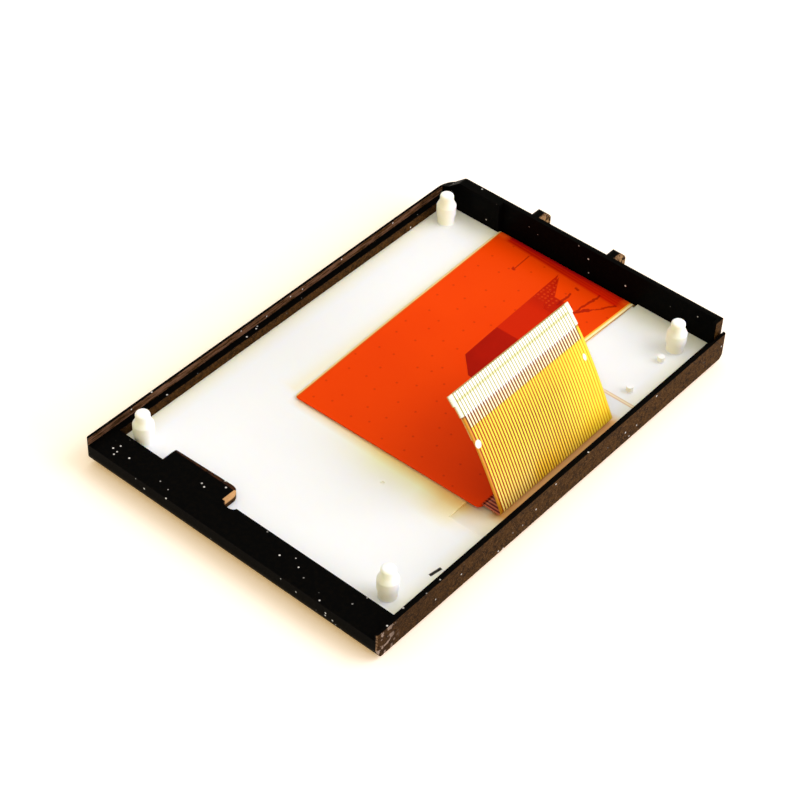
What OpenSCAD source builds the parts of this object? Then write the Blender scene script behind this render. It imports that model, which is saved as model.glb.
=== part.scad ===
// Small colour display module, lying on its viewing face with its back upwards.
// X runs along the long side, Y along the short side, Z away from the viewing face.
// The origin is the middle of the moulded frame, in the plane of its front face.

/* [Moulded frame] */
// Length of the frame along X
frame_l = 72.5; // [70:0.5:90]
// Width of the frame along Y
frame_w = 49.5; // [46:0.5:62]
// Corner radius of the frame in plan, at the far end of the tall wall
corner_r = 2.0; // [1.6:0.1:2.6]
// Corner radius of the frame in plan, at its other three corners
sharp_r = 0.35; // [0.2:0.05:0.6]
// Height of the thin rim above the front face
rim_h = 4.8; // [4.4:0.1:5.4]
// Thickness of the thin rim
rim_t = 0.4; // [0.3:0.05:0.6]
// Height of the ledge inside the rim
ledge_h = 3.65; // [3.4:0.05:4.0]
// Thickness of the two long walls below the ledge
side_wall = 1.4; // [1.2:0.05:1.8]
// Rounding of the front edge at the two short ends
end_round = 2.2; // [1.8:0.1:2.4]
// Chamfer of the front edge along the two long sides
edge_chamfer = 0.5; // [0.3:0.05:0.7]
// Thickness of the front lip around the viewing window
lip_t = 0.3; // [0.25:0.05:0.4]
// Reach of the lip inside the long walls
lip_side = 1.6; // [1.4:0.1:1.8]
// Reach of the lip inside the plain end wall
lip_plain_end = 3.65; // [3.3:0.05:4.0]
// Reach of the lip inside the tall end wall, over the driver chip
lip_tall_end = 6.95; // [6.7:0.05:7.5]

/* [Plain end] */
// Thickness of the solid part of the plain end wall
plain_wall = 2.05; // [1.8:0.05:2.3]
// Reach of the retaining plate from the outer face inwards
plate_reach = 4.65; // [4.3:0.05:4.7]
// Length of the retaining tab along Y
tab_l = 11.3; // [8:0.1:14]
// Reach of the tab beyond the retaining plate
tab_reach = 3.0; // [2:0.05:4]
// Distance of the tab's middle from the frame's middle line
tab_offset = 10.25; // [8:0.05:11]
// Slant of the tab's free edge in plan
tab_slant = 0.5; // [0:0.05:0.8]
// Width of the slope around the tab's top
tab_slope = 0.9; // [0.3:0.05:1.2]
// Drop of that slope
tab_drop = 0.45; // [0.2:0.05:0.8]
// Radius of the tab's corner beside the long wall
tab_far_r = 0.6; // [0.4:0.1:1.4]
// Radius of the tab's corner beside the notch
tab_near_r = 1.5; // [0.5:0.1:1.8]
// Length of the relief notch at the tab's root
notch_l = 2.0; // [1.0:0.1:2.5]
// Depth of the relief notch in the retaining plate
notch_depth = 0.6; // [0.3:0.05:0.9]

/* [Tall end wall] */
// Height of the tall wall above the front face
wall_h = 7.0; // [6:0.1:8]
// Thickness of the tall wall beside the flex
wall_t = 0.75; // [0.6:0.05:0.8]
// Thickness of the tall wall where it meets the far corner
wall_thick_t = 1.65; // [1.5:0.05:1.75]
// Distance from the far side face to the foot of the wall's ramp
wall_far_gap = 1.55; // [1.2:0.05:2.5]
// Height of the ramp's foot above the rim
ramp_foot = 0.6; // [0.2:0.1:1.0]
// Length of the ramp from its foot up to the top of the wall
ramp_l = 1.9; // [1:0.1:3]
// Width of the rib behind the wall's square end
rib_w = 0.8; // [0.5:0.05:1.2]
// Distance from the near side face to the square end of the wall
wall_near_gap = 0.85; // [0.6:0.05:1.2]
// Width of the slit between the wall's square end and the near rim
slit_w = 0.35; // [0.2:0.05:0.5]
// Depth of that slit below the rim
slit_d = 0.7; // [0.3:0.1:1.0]

/* [Locating lugs] */
// Width of a lug along the wall
lug_w = 2.2; // [1.5:0.1:3]
// Reach of a lug beyond the outer face
lug_reach = 2.15; // [1.2:0.05:3]
// Height of a lug
lug_h = 2.1; // [1.5:0.1:2.2]
// Radius of a lug's outer top edge
lug_r = 0.95; // [0.5:0.05:1.0]
// Radius of a lug's two other top edges
lug_side_r = 0.85; // [0.3:0.05:0.95]
// Distance of the far lug from the middle line
lug_far_y = 8.45; // [5:0.05:12]
// Distance of the near lug from the middle line
lug_near_y = 4.8; // [3:0.05:12]

/* [White housing] */
// Clearance between the housing and the long walls
housing_fit = 0.05; // [0.03:0.01:0.1]
// Clearance between the housing and the end walls
end_fit = 0.08; // [0.05:0.01:0.12]
// Thickness of the housing's back
back_t = 0.45; // [0.35:0.05:0.7]
// Thickness of the housing's side walls
housing_wall = 0.65; // [0.5:0.05:0.8]
// Depth of the relief under the folded flex
fold_relief = 0.2; // [0.1:0.01:0.25]
// Width of the slope at the relief's two ends
relief_slope = 0.45; // [0.2:0.05:0.8]
// Margin of the relief beyond the folded flex
relief_margin = 3.9; // [2:0.1:5]
// Start of the relief beyond the fold, towards the near side face
relief_before = 0.7; // [0.3:0.1:1.0]
// End of the relief beyond the flat film's start
relief_after = 1.5; // [0.5:0.1:2.5]
// Radius of the small ejector mark
dot_r = 0.3; // [0.2:0.05:0.5]
// Distance of the ejector mark from the plain end's outer face
dot_x = 21.45; // [18:0.05:24]
// Distance of the ejector mark from the near side face
dot_y = 17.75; // [14:0.05:22]
// Length of the small slot in the housing's back
slot_l = 1.85; // [1:0.05:3]
// Width of that slot
slot_w = 0.4; // [0.3:0.05:0.6]
// Distance of the slot from the plain end's outer face
slot_x = 14.3; // [12:0.05:18]
// Distance of the slot from the near side face
slot_y = 2.9; // [2.7:0.05:4]
// Turn of the slot in plan, in degrees
slot_turn = -9; // [-20:1:20]

/* [Mounting posts] */
// Distance of the two posts beside the tall wall from its outer face
post_tall_x = 4.95; // [4.7:0.05:6]
// Distance of the far post at the plain end from the end face
post_far_x = 6.45; // [6.2:0.05:8]
// Distance of the near post at the plain end from the end face
post_near_x = 7.5; // [6.2:0.05:9]
// Distance of the two far posts from the far side face
post_far_y = 3.95; // [3.8:0.05:5]
// Distance of the two near posts from the near side face
post_near_y = 4.8; // [3.8:0.05:6]
// Radius of a post's body
neck_r = 1.27; // [1.2:0.01:1.35]
// Height of the body
neck_h = 1.5; // [1:0.1:2.5]
// Radius of the collar
collar_r = 1.43; // [1.36:0.01:1.6]
// Height of the collar
collar_h = 1.6; // [1:0.1:2]
// Height of the cone above the collar
cone_h = 0.9; // [0.2:0.05:1.2]
// Radius of the locating pin at the top
pin_r = 1.0; // [0.8:0.01:1.05]
// Height of the locating pin
pin_h = 1.0; // [0.8:0.05:2]
// Radius of the pin's top edge
pin_edge = 0.35; // [0.2:0.05:0.6]
// Radius of the two short stub pins
stub_r = 0.5; // [0.3:0.05:0.7]
// Height of the two short stub pins
stub_h = 0.9; // [0.5:0.1:1.5]
// Distance of the first stub pin from the tall wall's outer face
stub_a_x = 8.2; // [7:0.05:10]
// Distance of the first stub pin from the near side face
stub_a_y = 4.8; // [4:0.05:6]
// Distance of the second stub pin from the tall wall's outer face
stub_b_x = 15.85; // [14:0.05:16]
// Distance of the second stub pin from the near side face
stub_b_y = 4.45; // [4:0.05:6]

/* [Display panel] */
// Clearance around the glass inside the housing
glass_fit = 0.12; // [0.08:0.01:0.2]
// Thickness of each sheet of glass
glass_t = 0.3; // [0.25:0.05:0.35]
// Width of the contact ledge left bare on the array glass
ledge_l = 3.2; // [3.0:0.1:3.6]
// Thickness of the front polariser
front_pol_t = 0.12; // [0.1:0.01:0.15]
// Thickness of the rear polariser
rear_pol_t = 0.1; // [0.08:0.01:0.12]
// Distance of the polarisers from the edges of the glass
pol_inset = 0.4; // [0.3:0.05:0.6]
// Width of the driver chip across the ledge
chip_w = 1.0; // [0.8:0.1:1.2]
// Length of the driver chip along the ledge
chip_l = 18.0; // [14:0.5:22]
// Thickness of the driver chip
chip_t = 0.25; // [0.2:0.05:0.28]
// Distance of the chip from the colour filter glass
chip_gap = 0.6; // [0.4:0.05:0.7]

/* [Backlight] */
// Thickness of the rim tape
tape_t = 0.05; // [0.04:0.01:0.06]
// Width of the rim tape
tape_w = 1.2; // [1:0.1:1.4]
// Thickness of each prism film
prism_t = 0.06; // [0.05:0.01:0.08]
// Thickness of the diffuser film
diffuser_t = 0.05; // [0.04:0.01:0.06]
// Thickness of the light guide plate
guide_t = 0.36; // [0.3:0.02:0.4]
// Thickness of the reflector film
reflector_t = 0.05; // [0.04:0.01:0.06]
// Clearance around the films inside the housing
film_fit = 0.2; // [0.15:0.05:0.3]
// Width of the bay for the lamps beside the light guide plate
lamp_bay = 3.75; // [3.5:0.05:4.2]
// Number of lamps
lamp_count = 4; // [2:1:6]
// Length of a lamp along Y
lamp_l = 3.0; // [2.4:0.1:3.8]
// Width of a lamp along X
lamp_w = 0.8; // [0.6:0.1:1.0]
// Thickness of the strip that carries the lamps
strip_t = 0.1; // [0.08:0.01:0.12]

/* [Flex circuit] */
// Thickness of the flex film
flex_t = 0.13; // [0.1:0.01:0.15]
// Thickness of the bond between the film and the glass
bond_t = 0.03; // [0.02:0.01:0.04]
// Length of the bond along X
bond_l = 1.2; // [1:0.1:1.3]
// Clearance between the wrapped film and its pocket
wrap_fit = 0.11; // [0.08:0.01:0.14]
// Distance of the film's far edge at the wall from the middle line
flex_far_y = 13.5; // [12:0.1:15]
// Distance of the film's near edge at the wall from the middle line
flex_near_y = 10.4; // [8:0.1:12]
// Length of the film on the back, from the tall wall to its free edge
flex_l = 46.3; // [44:0.1:50]
// Drift of the far edge towards the middle over that length
flex_drift = 1.6; // [0:0.1:2.5]
// Height by which the film has risen off the housing where its tail begins
film_rise = 0.2; // [0.15:0.01:0.4]
// Distance from the near side face to the fold of the tail
fold_inset = 2.7; // [2.5:0.05:4]
// Distance from the film's free edge to the edge of the tail
shoulder = 1.4; // [1.2:0.1:3]
// Slant of the film's free edge
free_slant = 0.6; // [0.2:0.1:0.9]
// Rise of the film's near edge towards the tail
neck_rise = 1.0; // [0.3:0.1:1.5]
// Distance from the fold to the start of the full film
flap_gap = 3.4; // [2.5:0.1:4.5]
// Radius of the film's corner at its far free edge
flag_r = 0.6; // [0.3:0.1:1.2]
// Radius of the film's corner beside the tail
shoulder_r = 0.7; // [0.3:0.1:1.0]
// Radius of the film's corner where it leaves the tail
neck_corner_r = 0.8; // [0.3:0.1:1.2]

/* [Flex tail] */
// Number of contacts on the tail
contact_count = 45; // [20:1:50]
// Distance between contacts
contact_pitch = 0.5; // [0.4:0.05:0.5]
// Margin beside the outermost contacts
tail_margin = 0.75; // [0.4:0.05:1]
// Length of the tail from its fold to its end
tail_l = 17.2; // [14:0.1:20]
// Slope of the tail just above its fold, in degrees
slope_foot = 63.5; // [55:0.5:75]
// Slope of the tail at its end, in degrees
slope_end = 46; // [35:0.5:60]
// Radius of the fold, to the middle of the film
fold_r = 0.35; // [0.25:0.05:0.6]
// Length of the slightly wider contact end
contact_end_l = 3.2; // [2.5:0.1:5]
// Extra width of the contact end on each side
contact_end_flare = 0.15; // [0.1:0.05:0.4]
// Length of the widest part, at the very end
lead_in_l = 1.5; // [1:0.1:2.4]
// Extra width of the widest part on each side
lead_in_flare = 0.35; // [0.2:0.05:0.6]
// Length of the contact end that is bare of the cover film
bare_l = 5.2; // [4:0.1:7]
// Width of a trace
trace_w = 0.26; // [0.15:0.01:0.3]
// Thickness of a trace
trace_t = 0.03; // [0.02:0.01:0.05]
// Width of a contact finger
finger_w = 0.34; // [0.25:0.01:0.38]
// Length of a contact finger
finger_l = 4.9; // [3:0.1:4.9]
// Distance of the fingers from the very end of the tail
finger_gap = 0.1; // [0.05:0.05:0.2]
// Thickness of the stiffener behind the contacts
stiffener_t = 0.2; // [0.1:0.05:0.3]
// Length of the stiffener
stiffener_l = 6.5; // [5.5:0.1:8]

/* [Ground patch] */
// Thickness of the copper ground patch on the film
patch_t = 0.04; // [0.03:0.01:0.06]
// Distance of the patch from the tall wall
patch_gap = 2.6; // [2:0.1:5]
// Length of the patch along its far edge
patch_l = 22.1; // [18:0.1:23]
// Distance of the patch's far edge from the film's far edge
patch_inset = 12.2; // [11:0.1:14]
// Width of the patch along Y
patch_w = 9.5; // [7:0.1:10.5]
// Length of the patch's slanting corner
patch_slant = 2.9; // [1:0.1:4]
// Fall of the patch's far edge along its length
patch_skew = 1.0; // [0:0.1:2]

/* [Hidden] */
// Tiny overshoot of every cutting shape
cut = 1;
// Steps along the curved tail and round its fold
tail_steps = 14;
fold_steps = 10;
// Smooth circles
$fn = 48;

// Frame faces and cavity
out_x = frame_l / 2;
out_y = frame_w / 2;
cav_y = out_y - side_wall;
cav_x0 = -out_x + plain_wall;
cav_x1 = out_x - wall_thick_t;
bay_x1 = out_x - wall_t;
plate_x = -out_x + plate_reach;
tab_x = plate_x + tab_reach;
window_x0 = cav_x0 + lip_plain_end;
window_x1 = cav_x1 - lip_tall_end;
window_y = cav_y - lip_side;

// Heights of the stack, from the front lip to the back of the housing
z_pol = lip_t;
z_filter = z_pol + front_pol_t;
z_array = z_filter + glass_t;
z_rear_pol = z_array + glass_t;
z_tape = z_rear_pol + rear_pol_t;
z_upper = z_tape + tape_t;
z_lower = z_upper + prism_t;
z_diffuser = z_lower + prism_t;
z_guide = z_diffuser + diffuser_t;
z_reflector = z_guide + guide_t;
z_floor = z_reflector + reflector_t;
z_back = z_floor + back_t;

// Housing
hous_y = cav_y - housing_fit;
hous_x0 = cav_x0 + end_fit;
hous_x1 = cav_x1 - end_fit;
wing_x1 = bay_x1 - end_fit;
bin_y = hous_y - housing_wall;
bin_x0 = hous_x0 + housing_wall;
bin_x1 = hous_x1 - housing_wall - end_fit;
posts = [[-out_x + post_far_x, out_y - post_far_y], [out_x - post_tall_x, out_y - post_far_y],
  [out_x - post_tall_x, -out_y + post_near_y], [-out_x + post_near_x, -out_y + post_near_y]];
stubs = [[out_x - stub_a_x, -out_y + stub_a_y], [out_x - stub_b_x, -out_y + stub_b_y]];

// Glass and films
glass_y = bin_y - glass_fit;
glass_x0 = bin_x0 + glass_fit;
glass_x1 = bin_x1 - glass_fit;
filter_x1 = glass_x1 - ledge_l;
film_y = bin_y - film_fit;
film_x0 = bin_x0 + film_fit;
film_x1 = bin_x1 - lamp_bay;
strip_x0 = film_x1 + film_fit / 2;
strip_x1 = bin_x1 - film_fit;

// Wrap of the flex round the end of the housing
z_leg = z_array - bond_t - flex_t / 2;
z_flat = z_back + flex_t / 2;
wrap_r = (z_flat - z_leg) / 2;
wrap_z = (z_flat + z_leg) / 2;
wrap_x = bay_x1 - wrap_fit - flex_t / 2 - wrap_r;
wrap_edge = 0.3;
// Overlap of the tail and the film that carries it
tail_lap = 0.6;
side_lap = 0.3;

// Film on the back
z_film = z_flat + film_rise;
bond_x0 = glass_x1 - bond_l;
flex_x0 = bay_x1 - flex_l;
flex_y0 = -out_y + fold_inset;
tail_w = (contact_count - 1) * contact_pitch + 2 * tail_margin;
tail_x0 = flex_x0 + shoulder;
tail_x1 = tail_x0 + tail_w;
flap_y = flex_y0 + flap_gap;
// Course of the film seen along Y, from its wrap to past its free edge
film_path = [[wrap_x, z_flat], [bond_x0, z_flat], [tail_x1 + shoulder, z_film],
  [flex_x0 - cut, z_film]];

// Path of the film in the tail's own plane. The distance s is counted from the foot of the
// tail: above 0 it climbs the tail, down to -fold_len it runs round the fold, and below that
// it lies along the flat film.
fold_y = flex_y0 + fold_r + flex_t / 2;
fold_turn = 180 - slope_foot;
fold_len = fold_r * fold_turn * PI / 180;
fold_c = [fold_y, z_film + fold_r];
bare_s = tail_l - bare_l;
step = tail_l / tail_steps;
function unit(v) = v / norm(v);
function dir(a) = [cos(a), sin(a)];
function left(a) = [-sin(a), cos(a)];
function slope_at(s) = slope_foot - (slope_foot - slope_end) * pow(s / tail_l, 2);
// Point on the middle of the tail after i steps, by summing short straight steps
function tail_pt(i) = i <= 0 ? fold_c + fold_r * dir(-90 - fold_turn)
  : tail_pt(i - 1) + step * dir(slope_at((i - 0.5) * step));
function tail_edge(i, a) = tail_pt(i) + a * left(slope_at(i * step));
// Point of the film at the distance s, offset by a towards its outer face
function rail(s, a) =
  s > 0 ? let (i = min(floor(s / step), tail_steps - 1), t = s / step - i)
    (1 - t) * tail_edge(i, a) + t * tail_edge(i + 1, a)
  : s >= -fold_len ? fold_c + (fold_r + a) * dir(-90 - fold_turn * (1 + s / fold_len))
  : [fold_y - s - fold_len, z_film - a];
// Distances of the bends between two distances
function bends(s0, s1) = concat([s0],
  s0 < 0 ? [for (i = [0:fold_steps]) let (s = -fold_len * (1 - i / fold_steps)) if (s > s0) s] : [],
  [for (i = [1:tail_steps]) if (i * step > s0 && i * step < s1) i * step], [s1]);
// Closed outline of a band of the film from s0 to s1, between the offsets a and b
function band(s0, s1, a, b) = let (run = bends(s0, s1)) concat(
  [for (s = run) rail(s, a)],
  [for (i = [len(run) - 1:-1:0]) rail(run[i], b)]);

// Point i of a path, set off by a to the right of the path, with mitred corners
function mitre(path, i, a) =
  let (
    u = unit(path[max(i, 1)] - path[max(i, 1) - 1]),
    v = unit(path[min(i + 1, len(path) - 1)] - path[min(i, len(path) - 2)]),
    n = unit(u + v)
  ) path[i] + a / (n * u) * [n.y, -n.x];
// Closed outline of a ribbon that follows a path, between the offsets a and b
function ribbon(path, a, b) = concat(
  [for (i = [0:len(path) - 1]) mitre(path, i, a)],
  [for (i = [len(path) - 1:-1:0]) mitre(path, i, b)]);

// One rounded corner p between its neighbours a and b
function corner(a, p, b, r, n = 6) = r <= 0 ? [p] :
  let (
    u = unit(a - p),
    v = unit(b - p),
    half = acos(u * v) / 2,
    c = p + unit(u + v) * r / sin(half),
    p0 = p + u * r / tan(half) - c,
    p1 = p + v * r / tan(half) - c,
    a0 = atan2(p0.y, p0.x),
    turn = (atan2(p1.y, p1.x) - a0 + 540) % 360 - 180
  ) [for (i = [0:n]) c + r * dir(a0 + turn * i / n)];
// Outline with each of its corners rounded by its own radius
function rounded(pts, radii) = [for (i = [0:len(pts) - 1])
  each corner(pts[(i + len(pts) - 1) % len(pts)], pts[i], pts[(i + 1) % len(pts)], radii[i])];

// Box from one corner to the opposite corner
module span(a, b) {
  translate(a) cube(b - a);
}

// Plan of the frame, drawn in by a margin. The corner at the far end of the tall wall is
// round, and the other three are nearly sharp.
module plan(m) {
  x = out_x - m;
  y = out_y - m;
  sharp = max(sharp_r - m, 0);
  polygon(rounded([[-x, -y], [x, -y], [x, y], [-x, y]], [sharp, sharp, corner_r - m, sharp]));
}

// Extrudes a profile drawn in X and Z along Y
module along_y(y0, y1) {
  translate([0, y1, 0]) rotate([90, 0, 0]) linear_extrude(y1 - y0) children();
}

// Extrudes a profile drawn in Y and Z along X
module along_x(x0, x1) {
  translate([x0, 0, 0]) rotate([90, 0, 90]) linear_extrude(x1 - x0) children();
}

// Lengthwise profile: both ends round in towards the front face
module end_profile() {
  translate([-out_x, end_round]) square([frame_l, wall_h]);
  translate([-out_x + end_round, 0]) square([frame_l - 2 * end_round, wall_h]);
  for (s = [-1, 1])
    translate([s * (out_x - end_round), end_round]) circle(end_round);
}

// Crosswise profile: both sides are upright with a small chamfer at the front edge
module side_profile() {
  polygon([[-out_y + edge_chamfer, 0], [out_y - edge_chamfer, 0], [out_y, edge_chamfer],
    [out_y, wall_h], [-out_y, wall_h], [-out_y, edge_chamfer]]);
}

// Outline of the tall wall, seen along X
module wall_profile() {
  y0 = -out_y + wall_near_gap;
  y1 = out_y - wall_far_gap;
  polygon(rounded([[y0, 0], [out_y, 0], [out_y, rim_h], [y1, rim_h + ramp_foot],
    [y1 - ramp_l, wall_h], [y0, wall_h]], [0, 0, 0, ramp_l / 2, ramp_l / 2, 0]));
}

// Retaining tab with a slope around its top
module tab() {
  y0 = tab_offset - tab_l / 2;
  y1 = tab_offset + tab_l / 2;
  z1 = ledge_h - tab_drop;
  x0 = plate_x - cut;
  intersection() {
    translate([0, 0, z_back]) linear_extrude(ledge_h - z_back)
      polygon(rounded([[x0, y0], [tab_x, y0], [tab_x - tab_slant, y1], [x0, y1]],
        [0, tab_near_r, tab_far_r, 0]));
    along_y(y0, y1)
      polygon([[x0, z_back], [tab_x, z_back], [tab_x, z1], [tab_x - tab_slope, ledge_h],
        [x0, ledge_h]]);
    along_x(x0, tab_x)
      polygon([[y0, z_back], [y1, z_back], [y1, z1], [y1 - tab_slope / 2, ledge_h],
        [y0 + tab_slope / 2, ledge_h], [y0, z1]]);
  }
}

// Locating lug with a domed top that stands out from the top of the tall wall
module lug(y) {
  foot = wall_t / 2;
  y0 = y - lug_w / 2;
  y1 = y + lug_w / 2;
  z0 = wall_h - lug_h;
  intersection() {
    along_y(y0, y1)
      polygon(rounded([[out_x - foot, z0], [out_x + lug_reach, z0], [out_x + lug_reach, wall_h],
        [out_x - foot, wall_h]], [0, lug_r / 3, lug_r, 0]));
    along_x(out_x - foot, out_x + lug_reach)
      polygon(rounded([[y0, z0], [y1, z0], [y1, wall_h], [y0, wall_h]],
        [0, 0, lug_side_r, lug_side_r]));
  }
}

module outer_frame() {
  color([0.06, 0.055, 0.05]) {
    difference() {
      intersection() {
        linear_extrude(wall_h) plan(0);
        along_y(-out_y, out_y) end_profile();
        along_x(-out_x, out_x) side_profile();
        union() {
          span([-out_x, -out_y, 0], [out_x, out_y, rim_h]);
          along_x(cav_x1, out_x) wall_profile();
        }
      }
      // Step down from the rim to the ledge, open at the plain end
      intersection() {
        translate([0, 0, ledge_h]) linear_extrude(wall_h) difference() {
          union() {
            plan(rim_t);
            translate([-out_x - cut, -out_y + rim_t]) square([out_x, frame_w - 2 * rim_t]);
          }
          // The tall wall is thick beyond the flex and at its square end
          translate([cav_x1, flex_far_y + wrap_edge]) square(frame_w);
          translate([cav_x1, -out_y + wall_near_gap]) square([wall_thick_t, rib_w]);
        }
        span([-out_x - cut, -out_y, 0], [bay_x1, out_y, wall_h + cut]);
      }
      // Room for the housing, under the retaining plate and open at the back
      span([cav_x0, -cav_y, lip_t], [cav_x1, cav_y, z_back + housing_fit]);
      difference() {
        span([plate_x, -cav_y, z_back], [cav_x1, cav_y, wall_h + cut]);
        tab();
      }
      // Relief notch at the root of the tab
      translate([plate_x, tab_offset - tab_l / 2 - notch_l / 2, z_back])
        scale([notch_depth / (notch_l / 2), 1, 1]) cylinder(h = wall_h, r = notch_l / 2);
      // Pocket beside the tall wall for the wrapped flex and the housing's wing
      span([cav_x1 - cut, -cav_y, wrap_z], [bay_x1, flex_far_y + wrap_edge, wall_h + cut]);
      translate([wrap_x, flex_far_y + wrap_edge, wrap_z]) rotate([90, 0, 0])
        cylinder(h = flex_far_y + flex_near_y + 2 * wrap_edge, r = wrap_r + flex_t / 2 + wrap_fit);
      // Slit between the wall's square end and the near rim
      span([bay_x1 - cut, -out_y + wall_near_gap - slit_w, rim_h - slit_d],
        [out_x + cut, -out_y + wall_near_gap, wall_h + cut]);
      // Viewing window
      span([window_x0, -window_y, -cut], [window_x1, window_y, lip_t + cut]);
    }
    lug(lug_far_y);
    lug(-lug_near_y);
  }
}

// Stepped post, from inside the housing's back to the rounded edge of its pin
module post() {
  z1 = neck_h;
  z2 = z1 + collar_h;
  z3 = z2 + cone_h;
  z4 = z3 + pin_h;
  rotate_extrude()
    polygon(rounded([[0, -back_t / 2], [neck_r, -back_t / 2], [neck_r, z1], [collar_r, z1],
      [collar_r, z2], [pin_r, z3], [pin_r, z4], [0, z4]], [0, 0, 0, 0, 0, 0, pin_edge, 0]));
}

// Body of the relief, as it is cut out of the housing's back
module relief() {
  x0 = tail_x0 - relief_margin;
  x1 = tail_x1 + relief_margin;
  z0 = z_back - fold_relief;
  along_y(flex_y0 - relief_before, flap_y + relief_after)
    polygon([[x0, z0], [x1, z0], [x1 + relief_slope, z_back], [x1 + relief_slope, z_back + cut],
      [x0 - relief_slope, z_back + cut], [x0 - relief_slope, z_back]]);
}

module backlight_housing() {
  color([0.97, 0.95, 0.9]) {
    difference() {
      union() {
        span([hous_x0, -hous_y, lip_t], [hous_x1, hous_y, z_back]);
        // Wing that fills the pocket beside the tall wall
        span([hous_x1 - cut, -hous_y, z_floor], [wing_x1, -flex_near_y - wrap_edge, z_back]);
      }
      // Tray for the panel and the backlight
      span([bin_x0, -bin_y, -cut], [bin_x1, bin_y, z_floor]);
      // Room for the flex to pass the end wall on both faces
      span([bin_x1 - cut, -flex_near_y - wrap_edge, -cut],
        [hous_x1 + cut, flex_far_y + wrap_edge, z_array + housing_fit]);
      span([wrap_x, -flex_near_y - wrap_edge, -cut],
        [wing_x1 + cut, flex_far_y + wrap_edge, z_back + cut]);
      // Shallow relief under the fold of the tail, with sloping ends
      relief();
      // Small slot near the plain end
      translate([-out_x + slot_x, -out_y + slot_y, z_floor - cut]) rotate([0, 0, slot_turn])
        translate([-slot_l / 2, -slot_w / 2, 0]) cube([slot_l, slot_w, back_t + 2 * cut]);
      // Ejector mark
      translate([-out_x + dot_x, -out_y + dot_y, z_back - back_t / 2])
        cylinder(h = cut, r = dot_r);
    }
    for (p = posts)
      translate([p.x, p.y, z_back]) post();
    for (p = stubs)
      translate([p.x, p.y, z_back - back_t / 2]) cylinder(h = stub_h + back_t / 2, r = stub_r);
  }
}

// Plain sheet that fills the tray
module film(z, t) {
  span([film_x0, -film_y, z], [film_x1, film_y, z + t]);
}

module reflector_film() {
  color([0.92, 0.93, 0.95]) span([film_x0, -film_y, z_reflector], [strip_x1, film_y, z_floor]);
}

module light_guide_plate() {
  // The edge that faces the lamps has a shallow flute in front of each lamp
  color([0.85, 0.92, 0.95]) difference() {
    film(z_guide, guide_t);
    for (i = [0:lamp_count - 1])
      translate([film_x1 + lamp_l, lamp_y(i), z_guide - cut])
        cylinder(h = guide_t + 2 * cut, r = lamp_l * 1.01);
  }
}

module diffuser_film() {
  color([0.95, 0.95, 0.95]) film(z_diffuser, diffuser_t);
}

module lower_prism_film() {
  color([0.88, 0.9, 0.92]) film(z_lower, prism_t);
}

module upper_prism_film() {
  color([0.88, 0.9, 0.92]) film(z_upper, prism_t);
}

module rim_tape() {
  color([0.03, 0.03, 0.03]) difference() {
    span([film_x0, -film_y, z_tape], [strip_x1, film_y, z_upper]);
    span([film_x0 + tape_w, -film_y + tape_w, z_tape - cut],
      [film_x1 - tape_w, film_y - tape_w, z_upper + cut]);
  }
}

module lamp_strip() {
  color([0.9, 0.55, 0.1]) span([strip_x0, -film_y, z_guide - strip_t], [strip_x1, film_y, z_guide]);
}

function lamp_y(i) = (i - (lamp_count - 1) / 2) * 2 * film_y / lamp_count;

module lamps() {
  color([1, 0.95, 0.7]) for (i = [0:lamp_count - 1])
    span([strip_x0, lamp_y(i) - lamp_l / 2, z_guide],
      [strip_x0 + lamp_w, lamp_y(i) + lamp_l / 2, z_reflector]);
}

module rear_polariser() {
  color([0.2, 0.22, 0.25])
    span([glass_x0 + pol_inset, -glass_y + pol_inset, z_rear_pol],
      [filter_x1 - pol_inset, glass_y - pol_inset, z_tape]);
}

module array_glass() {
  color([0.7, 0.78, 0.78]) span([glass_x0, -glass_y, z_array], [glass_x1, glass_y, z_rear_pol]);
}

module colour_filter_glass() {
  color([0.25, 0.28, 0.3]) span([glass_x0, -glass_y, z_filter], [filter_x1, glass_y, z_array]);
}

module front_polariser() {
  color([0.05, 0.05, 0.06])
    span([glass_x0 + pol_inset, -glass_y + pol_inset, z_pol],
      [filter_x1 - pol_inset, glass_y - pol_inset, z_filter]);
}

module driver_chip() {
  x0 = filter_x1 + chip_gap;
  color([0.15, 0.15, 0.17])
    span([x0, -chip_l / 2, z_array - chip_t], [x0 + chip_w, chip_l / 2, z_array]);
}

module bond_strip() {
  color([0.75, 0.7, 0.5])
    span([glass_x1 - bond_l, -flex_near_y, z_array - bond_t], [glass_x1, flex_far_y, z_array]);
}

// Section of the film, seen along Y: bonded leg, wrap, and the film on the back
module film_profile() {
  translate([wrap_x, wrap_z]) difference() {
    circle(wrap_r + flex_t / 2);
    circle(wrap_r - flex_t / 2);
    translate([-2 * wrap_r, -2 * wrap_r]) square([2 * wrap_r, 4 * wrap_r]);
  }
  translate([bond_x0, z_leg - flex_t / 2]) square([wrap_x - bond_x0, flex_t]);
  polygon(ribbon(film_path, -flex_t / 2, flex_t / 2));
}

// Outline of the film in plan, up to the start of the tail
module film_plan() {
  near_in = -flex_near_y + neck_rise;
  foot = flap_y - tail_lap;
  polygon(rounded([[bay_x1, flex_far_y], [bond_x0, flex_far_y], [flex_x0, flex_far_y - flex_drift],
    [flex_x0 + free_slant, foot], [tail_x1 + side_lap, foot], [tail_x1 + side_lap, near_in],
    [bond_x0, -flex_near_y], [bay_x1, -flex_near_y]],
    [0, 0, flag_r, shoulder_r, 0, neck_corner_r, 0, 0]));
}

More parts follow.
